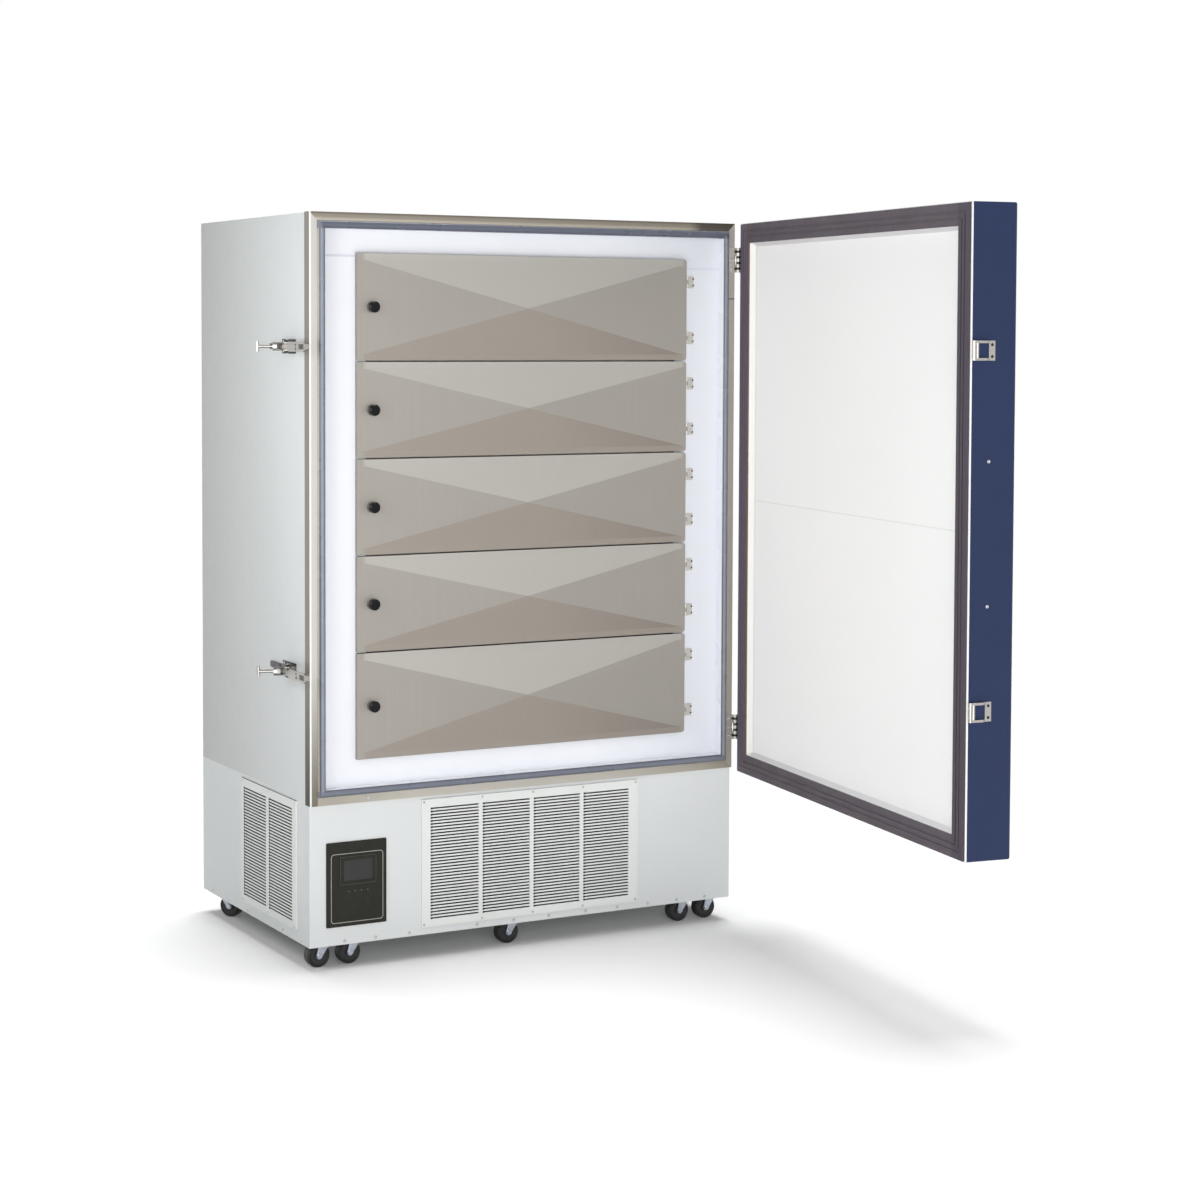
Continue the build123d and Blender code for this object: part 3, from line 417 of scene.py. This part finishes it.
# Door gasket: painted shade on the latch side, painted light that makes the hinge side paler and
# bluer, and a brown inner edge
gasket_low, gasket_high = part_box("door_gasket")
gasket_y = dark_rubber.axis("Y")
on_gasket = dark_rubber.rise(dark_rubber.axis("X"), 0.0, 0.1, 0.9)
free_side_shade = dark_rubber.fall(gasket_y, gasket_low.y + 0.054, gasket_low.y + 0.060)
hung_side_light = dark_rubber.rise(gasket_y, gasket_high.y - 0.060, gasket_high.y - 0.054)
inner_edge = dark_rubber.line("Y", gasket_high.y - 0.050, 0.010)
for area, code in ((free_side_shade, "423B46"), (hung_side_light, "62596A"), (inner_edge, "5C4B45")):
    dark_rubber.tint(dark_rubber.product(area, on_gasket), code)

# White surround: painted shade makes it a little greyer on the hinge side, with faint joints near its
# upper corners
surround_x = white_plastic.axis("X")
white_plastic.tint(white_plastic.rise(surround_x, 0.2, 0.55), "E6E9F0")
for height, start, finish in ((1.880, -0.600, -0.500), (1.863, 0.495, 0.610)):
    after_start = white_plastic.rise(surround_x, start - mm, start)
    before_finish = white_plastic.fall(surround_x, finish, finish + mm)
    joint = white_plastic.line("Z", height, 0.004)
    white_plastic.tint(white_plastic.product(joint, after_start, before_finish), "DEE2EC")

# Door panel: the joint half way down, and painted shade on the recess's walls
liner_low, liner_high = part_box("door_liner")
liner_lean = liner_panel.normal("Z")
liner_panel.tint(liner_panel.line("Z", (liner_low.z + liner_high.z) / 2, 0.002), "EBEBEA")
liner_panel.tint(liner_panel.fall(liner_lean, -0.6, -0.3, 0.9), "C2BFC2")
liner_panel.tint(liner_panel.rise(liner_lean, 0.3, 0.6, 0.9), "D4D4D6")
wall_start = gasket_high.y - 0.078
hung_wall_shade = liner_panel.rise(liner_panel.axis("Y"), wall_start, wall_start + 0.004, 0.9)
liner_panel.tint(hung_wall_shade, "EDEBE7")

finish_of = {
    "cabinet_shell": white_paint,
    "cabinet_insulation": foam,
    "inner_liner": shelf_steel,
    "shelves": shelf_steel,
    "liner_frame": white_plastic,
    "cabinet_gasket": tube_rubber,
    "front_trim": trim_steel,
    "base_panels": base_paint,
    "base_deck": galvanised,
    "front_grille": grille_paint,
    "side_grilles": grille_paint,
    "control_plate": plate_black,
    "display_bezel": plate_black,
    "display_screen": display_glass,
    "cord_gland": black_plastic,
    "compressors": black_paint,
    "condenser": fin_aluminium,
    "fan_motor": black_paint,
    "fan_rotor": black_plastic,
    "cabinet_hinges": hinge_steel,
    "inner_hinge_leaves": leaf_steel,
    "latch_bases": latch_dark,
    "latch_pads": dark_rubber,
    "caster_plates": zinc,
    "door_skin": navy_paint,
    "door_insulation": foam,
    "door_liner": liner_panel,
    "door_gasket": dark_rubber,
    "door_hinges": hinge_steel,
    "keepers": keeper_steel,
}
family_finish = {
    "inner_door_": door_steel,
    "inner_knob_": knob_black,
    "_fork": zinc,
    "_wheel": wheel_black,
    "_latch_": latch_steel,
}
for name, node in nodes.items():
    finish = finish_of.get(name)
    if finish is None:
        finish = next(look for part, look in family_finish.items() if part in name)
    node.data.materials.clear()
    node.data.materials.append(finish.material)

# Softened edges that catch the light
edge_round = {
    "front_trim": 0.0006,
    "base_panels": 0.0015,
    "front_grille": 0.0006,
    "side_grilles": 0.0006,
    "control_plate": 0.0008,
    "display_bezel": 0.0006,
    "door_liner": 0.0012,
    "door_gasket": 0.0008,
    "cabinet_shell": 0.0015,
    "keepers": 0.0006,
    "latch_bases": 0.0005,
    "door_hinges": 0.0005,
    "cabinet_hinges": 0.0005,
}
for name, width in edge_round.items():
    bevel = nodes[name].modifiers.new("edge", "BEVEL")
    bevel.width = width
    bevel.segments = 2
    bevel.limit_method = "ANGLE"
    bevel.angle_limit = math.radians(50)


# Added pieces: fasteners, printed lines, and dark slabs and discs of painted shade for louvre ends
# and holes
def at(x, y, z):
    """Point in millimetres from the trim's front left edge, with its height in metres."""
    return Vector((trim_low.x + x * mm, trim_low.y + y * mm, z))


def piece(name, mesh, body, finish, smooth=True):
    data = bpy.data.meshes.new(name)
    bmesh.ops.recalc_face_normals(mesh, faces=mesh.faces)
    mesh.to_mesh(data)
    mesh.free()
    for face in data.polygons:
        face.use_smooth = smooth
    data.materials.append(finish.material)
    item = bpy.data.objects.new(name, data)
    scene.collection.objects.link(item)
    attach(item, body)


def lathe(mesh, centre, normal, profile, steps=20):
    """Closed turned shape: radius and height pairs in millimetres from the rim to the middle."""
    up = Vector(normal).normalized()
    side = up.orthogonal().normalized()
    other = up.cross(side)
    rings = []
    for radius, height in profile:
        ring = []
        for i in range(steps):
            turn = 2 * math.pi * i / steps
            outward = side * math.cos(turn) + other * math.sin(turn)
            ring.append(mesh.verts.new(centre + outward * radius * mm + up * height * mm))
        rings.append(ring)
    for a, b in zip(rings, rings[1:]):
        for i in range(steps):
            j = (i + 1) % steps
            mesh.faces.new((a[i], a[j], b[j], b[i]))
    mesh.faces.new(rings[0])
    mesh.faces.new(list(reversed(rings[-1])))


def slab(mesh, centre, across, along, normal, thickness):
    """Flat plate given by two half-extents, lying on its centre point."""
    across = Vector(across)
    along = Vector(along)
    up = Vector(normal).normalized() * thickness
    signs = ((-1, -1), (1, -1), (1, 1), (-1, 1))
    corners = [centre + a * across + b * along for a, b in signs]
    low = [mesh.verts.new(c) for c in corners]
    high = [mesh.verts.new(c + up) for c in corners]
    mesh.faces.new(low)
    mesh.faces.new(high)
    for i in range(4):
        j = (i + 1) % 4
        mesh.faces.new((low[i], low[j], high[j], high[i]))


def screw(mesh, centre, normal, radius, height=0.0):
    """Pan head with a hollow in its middle, radius and height in millimetres."""
    height = height or radius * 0.5
    head = [(1.0, 0.0), (1.0, 0.4), (0.8, 0.85), (0.45, 1.0), (0.4, 0.35), (0.02, 0.35)]
    lathe(mesh, centre, normal, [(radius * r, height * h) for r, h in head])


def outline(mesh, low, high, corner, line, thickness):
    """Rounded rectangular line standing on a plate that faces the front."""
    corner_points = 7
    corner_step = 90 / (corner_points - 1)
    corners = (
        (high.x, high.z, 0),
        (low.x, high.z, 90),
        (low.x, low.z, 180),
        (high.x, low.z, 270),
    )
    loops = []
    for inset in (0.0, line):
        loop = []
        radius = corner - inset
        for x, z, first in corners:
            middle_x = x + (-corner if x == high.x else corner)
            middle_z = z + (-corner if z == high.z else corner)
            for k in range(corner_points):
                turn = math.radians(first + k * corner_step)
                loop.append((middle_x + radius * math.cos(turn), middle_z + radius * math.sin(turn)))
        loops.append(loop)
    rows = []
    for loop in loops:
        for depth in (low.y, low.y - thickness):
            rows.append([mesh.verts.new(Vector((x, depth, z))) for x, z in loop])
    count = len(rows[0])
    for a, b in ((0, 1), (1, 3), (3, 2), (2, 0)):
        for i in range(count):
            j = (i + 1) % count
            mesh.faces.new((rows[a][i], rows[a][j], rows[b][j], rows[b][i]))


# Control panel: outline, four dots under the screen and a fine line round the bezel
plate_low, plate_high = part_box("control_plate")
bezel_low, bezel_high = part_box("display_bezel")
panel_line = bmesh.new()
line_low = Vector((plate_low.x + 13 * mm, plate_low.y, plate_low.z + 10 * mm))
line_high = Vector((plate_high.x - 9.5 * mm, plate_low.y, plate_high.z - 31 * mm))
outline(panel_line, line_low, line_high, corner=9 * mm, line=1.5 * mm, thickness=0.15 * mm)
piece("panel_outline", panel_line, "cabinet", printed)
dot_steps = (26, 44, 62, 80)
dot_drop = 18 * mm
dot_profile = [(2.2, 0), (2.2, 0.3), (1.5, 0.6)]
marks = bmesh.new()
for step in dot_steps:
    centre = Vector((bezel_low.x + step * mm, plate_low.y, bezel_low.z - dot_drop))
    lathe(marks, centre, front_way, dot_profile, 16)
piece("panel_marks", marks, "cabinet", faint_print)
bezel_line = bmesh.new()
inset = Vector((0.5 * mm, 0, 0.5 * mm))
bezel_front = Vector((bezel_high.x, bezel_low.y, bezel_high.z))
line_low = bezel_low + inset
line_high = bezel_front - inset
outline(bezel_line, line_low, line_high, corner=3 * mm, line=0.9 * mm, thickness=0.1 * mm)
piece("bezel_line", bezel_line, "cabinet", faint_print)

# Grilles: screws along the upper and lower edges
grille_low, grille_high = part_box("front_grille")
side_low, side_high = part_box("side_grilles")
grille_screw_inset = 7 * mm
grille_screw_radius = 3.5
front_grille_steps = (7, 181, 335.5, 491.5, 660)
side_grille_steps = (8, 203, 397)
grille_screws = bmesh.new()
for step in front_grille_steps:
    for z in (grille_low.z + grille_screw_inset, grille_high.z - grille_screw_inset):
        centre = Vector((grille_low.x + step * mm, grille_low.y, z))
        screw(grille_screws, centre, front_way, grille_screw_radius)
for step in side_grille_steps:
    for z in (side_low.z + grille_screw_inset, side_high.z - grille_screw_inset):
        centre = Vector((side_low.x, side_low.y + step * mm, z))
        screw(grille_screws, centre, left_way, grille_screw_radius)
piece("grille_screws", grille_screws, "cabinet", pale_zinc)

# Grilles: painted shade as dark slabs in the open ends of the louvres
louvre_rows = 36
louvre_pitch = 8.5 * mm
louvre_drop = 1.3 * mm
front_columns = [29 + column * 155.7 for column in range(4)]
side_columns = [26.5 + column * 189 for column in range(2)]
front_end_halves = ((2.8 * mm, 0, 0), (0, 0, 2.6 * mm))
side_end_halves = ((0, 4.2 * mm, 0), (0, 0, 3.0 * mm))
end_thickness = 0.2 * mm
louvre_end_shade = bmesh.new()
for row in range(louvre_rows):
    rise = (row - (louvre_rows - 1) / 2) * louvre_pitch - louvre_drop
    front_z = (grille_low.z + grille_high.z) / 2 + rise
    side_z = (side_low.z + side_high.z) / 2 + rise
    for step in front_columns:
        centre = Vector((grille_low.x + step * mm, grille_low.y, front_z))
        slab(louvre_end_shade, centre, *front_end_halves, front_way, end_thickness)
    for step in side_columns:
        centre = Vector((side_low.x, side_high.y - step * mm, side_z))
        slab(louvre_end_shade, centre, *side_end_halves, left_way, end_thickness)
piece("louvre_end_shade", louvre_end_shade, "cabinet", hole_shade, False)

# Base: screws along the lower edges, and one in the trim above
panels_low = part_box("base_panels")[0]
base_screw_z = panels_low.z + 10 * mm
front_screw_steps = (101, 190, 288, 490, 602, 710, 826, 927, 1025, 1120, 1213)
side_screw_steps = [60 + i * 135 for i in range(6)]
front_screw_radius = 4.5
front_screw_head = 2
side_screw_radius = 4
trim_screw = at(165, 0, 0.451)
base_screws = bmesh.new()
for step in front_screw_steps:
    centre = Vector((trim_low.x + step * mm, panels_low.y, base_screw_z))
    screw(base_screws, centre, front_way, front_screw_radius, front_screw_head)
for step in side_screw_steps:
    centre = Vector((panels_low.x, trim_low.y + step * mm, base_screw_z))
    screw(base_screws, centre, left_way, side_screw_radius)
screw(base_screws, trim_screw, front_way, front_screw_radius)
piece("base_screws", base_screws, "cabinet", pale_zinc)

# Inner doors: countersunk holes in the fixed hinge leaves as dark discs of painted shade, and a
# rosette behind each knob
leaf_low, leaf_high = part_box("inner_hinge_leaves")
leaf_inset = 62 * mm
leaf_hole_x = leaf_high.x - 6 * mm
leaf_hole_rise = 9 * mm
leaf_hole_profile = [(2.6, 0), (2.6, 0.2), (1.2, 0.3)]
rosette_profile = [(14, 0), (14, 3), (12, 5), (8, 5.5)]
leaf_hole_shade = bmesh.new()
for i in range(1, 6):
    low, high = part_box(f"inner_door_{i}")
    for z in (high.z - leaf_inset, low.z + leaf_inset):
        for step in (-leaf_hole_rise, leaf_hole_rise):
            centre = Vector((leaf_hole_x, leaf_low.y, z + step))
            lathe(leaf_hole_shade, centre, front_way, leaf_hole_profile, 16)
    knob_low, knob_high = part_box(f"inner_knob_{i}")
    centre = (knob_low + knob_high) / 2
    centre.y = knob_high.y
    rosette = bmesh.new()
    lathe(rosette, centre, front_way, rosette_profile, 28)
    piece(f"knob_rosette_{i}", rosette, f"inner_door_{i}", rosette_steel)
piece("leaf_hole_shade", leaf_hole_shade, "cabinet", hole_shade)

# Main hinges: screws in the fixed leaves
leaf_screw_x = 1285
leaf_face_y = -2.5
leaf_screw_radius = 3.6
leaf_screw_rise = 25 * mm
leaf_screws = bmesh.new()
for height in hinge_heights:
    for step in (-leaf_screw_rise, 0, leaf_screw_rise):
        centre = at(leaf_screw_x, leaf_face_y, height + step)
        screw(leaf_screws, centre, front_way, leaf_screw_radius)
piece("leaf_screws", leaf_screws, "cabinet", leaf_steel)

# Latches: base screws and the heads of the pivot pins
pin_head_profile = [(4.2, 0), (4.2, 1.0), (3, 1.8)]
pin_head_rise = 17.25 * mm
pin_x = -16.5
pin_y = 110
latch_face_x = -1.0
latch_screw_rows = (132, 176)
latch_screw_rise = 13 * mm
latch_screw_radius = 3.6
rivets = bmesh.new()
for height in latch_heights:
    for y in latch_screw_rows:
        for step in (-latch_screw_rise, latch_screw_rise):
            screw(rivets, at(latch_face_x, y, height + step), left_way, latch_screw_radius)
    for way in (-1, 1):
        centre = at(pin_x, pin_y, height + way * pin_head_rise)
        lathe(rivets, centre, (0, 0, way), pin_head_profile)
piece("latch_rivets", rivets, "cabinet", screw_steel)

# Outer door: places are measured on the closed door and turned with it
door_angle = 82.0
door_turn = Matrix.Rotation(math.radians(door_angle), 3, "Z")
door_pivot = at(1303, -6.7, 0)
door_gap = 13.4
latch_edge = door_turn @ Vector((-1, 0, 0))
hinge_edge = door_turn @ Vector((1, 0, 0))


def on_door(x, depth, z):
    return door_pivot + door_turn @ (at(x, depth, z) - door_pivot)


edge_screw_heights = (1.380, 1.036)
edge_screw_x = -8
edge_screw_depth = -door_gap - 57
edge_screw_radius = 4.5
hinge_screw_x = 1306.5
hinge_screw_depth = -33.4
hinge_screw_rise = 24 * mm
hinge_screw_radius = 4
keeper_face_x = -10.5
keeper_hole_depth = -door_gap - 62
keeper_hole_rise = 14 * mm
keeper_hole_profile = [(3.6, 0), (3.6, 0.3), (1.5, 0.5)]
door_screws = bmesh.new()
for height in edge_screw_heights:
    centre = on_door(edge_screw_x, edge_screw_depth, height)
    screw(door_screws, centre, latch_edge, edge_screw_radius)
for height in hinge_heights:
    for step in (-hinge_screw_rise, 0, hinge_screw_rise):
        centre = on_door(hinge_screw_x, hinge_screw_depth, height + step)
        screw(door_screws, centre, hinge_edge, hinge_screw_radius)
piece("door_screws", door_screws, "outer_door", screw_steel)
# Keeper holes as dark discs of painted shade
keeper_hole_shade = bmesh.new()
for height in latch_heights:
    for step in (-keeper_hole_rise, keeper_hole_rise):
        centre = on_door(keeper_face_x, keeper_hole_depth, height + step)
        lathe(keeper_hole_shade, centre, latch_edge, keeper_hole_profile, 18)
piece("keeper_hole_shade", keeper_hole_shade, "outer_door", hole_shade)

# Casters: axle nuts outside each fork
headings = {"front": 180.0, "rear": -50.0}
nut_profile = [(7.2, 0), (7.2, 3.5), (6, 4.2)]
nut_offset = 20 * mm
for name in nodes:
    if not name.endswith("_wheel"):
        continue
    place = name[:-len("_wheel")]
    low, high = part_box(name)
    heading = Matrix.Rotation(math.radians(headings[place.split("_")[0]]), 3, "Z")
    nuts = bmesh.new()
    for side in (-1, 1):
        axle = heading @ Vector((0, side, 0))
        lathe(nuts, (low + high) / 2 + axle * nut_offset, axle, nut_profile, 6)
    piece(f"{place}_nuts", nuts, f"{place}_swivel", zinc, False)

# Floor and light
bpy.ops.mesh.primitive_plane_add(size=60.0, location=(0, 10, 0))
floor = bpy.context.object
floor.name = "floor"
floor_look = plain("floor_white", "F4F4F4", 0.9, 3.0, 0.005, 0.0)
floor.data.materials.append(floor_look.material)
floor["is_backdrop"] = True


def seen_directly(tree):
    """One for camera, glossy and transmission rays, nought for the light that falls on the object."""
    path = tree.nodes.new("ShaderNodeLightPath")
    total = path.outputs["Is Camera Ray"]
    for kind in ("Is Glossy Ray", "Is Transmission Ray"):
        either = tree.nodes.new("ShaderNodeMath")
        either.operation = "MAXIMUM"
        tree.links.new(total, either.inputs[0])
        tree.links.new(path.outputs[kind], either.inputs[1])
        total = either.outputs["Value"]
    return total


def by_ray(tree, unseen, seen):
    """A strength that differs between light falling on the object and the background as seen."""
    node = tree.nodes.new("ShaderNodeMapRange")
    node.inputs["To Min"].default_value = unseen
    node.inputs["To Max"].default_value = seen
    tree.links.new(seen_directly(tree), node.inputs["Value"])
    return node.outputs["Result"]


white = (1.0, 1.0, 1.0, 1.0)
floor_look.bsdf.inputs["Emission Color"].default_value = white
floor_glow = by_ray(floor_look.tree, 0.0, 0.06)
floor_look.link(floor_glow, floor_look.bsdf.inputs["Emission Strength"])

world = bpy.data.worlds.new("studio")
scene.world = world
world.use_nodes = True
tree = world.node_tree
tree.nodes.clear()
sky = tree.nodes.new("ShaderNodeBackground")
sky.inputs["Color"].default_value = white
tree.links.new(by_ray(tree, 0.18, 1.0), sky.inputs["Strength"])
output = tree.nodes.new("ShaderNodeOutputWorld")
tree.links.new(sky.outputs["Background"], output.inputs["Surface"])


def aimed(name, kind, place, target, energy):
    data = bpy.data.lights.new(name, kind)
    data.energy = energy
    item = bpy.data.objects.new(name, data)
    scene.collection.objects.link(item)
    item.location = place
    item.rotation_euler = (Vector(target) - Vector(place)).to_track_quat("-Z", "Y").to_euler()
    return data


key = aimed("key", "SUN", (0.75, 0.95, 5.0), (0.0, 0.0, 0.0), 2.7)
key.angle = math.radians(38.0)
softbox = aimed("softbox", "AREA", (-2.0, -0.9, 1.7), (0.7, -0.8, 1.1), 18.0)
softbox.size = 1.2
front_fill = aimed("front_fill", "AREA", (-1.5, -5.4, 1.3), (0.2, -0.4, 1.0), 105.0)
front_fill.size = 3.0

# Camera
camera_data = bpy.data.cameras.new("camera")
camera = bpy.data.objects.new("camera", camera_data)
scene.collection.objects.link(camera)
scene.camera = camera
camera_data.sensor_width = 36.0
camera_data.lens = 74.194
camera_data.shift_y = -0.12
camera_data.clip_end = 200.0
camera_place = Matrix.Translation((-3.0915, -6.3808, 1.6725))
turn = Matrix.Rotation(math.radians(-28.959), 4, "Z")
tilt = Matrix.Rotation(math.radians(90.0 - 2.776), 4, "X")
roll = Matrix.Rotation(math.radians(0.227), 4, "Z")
camera.matrix_world = camera_place @ turn @ tilt @ roll
scene.view_settings.view_transform = "Standard"

low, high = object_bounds()
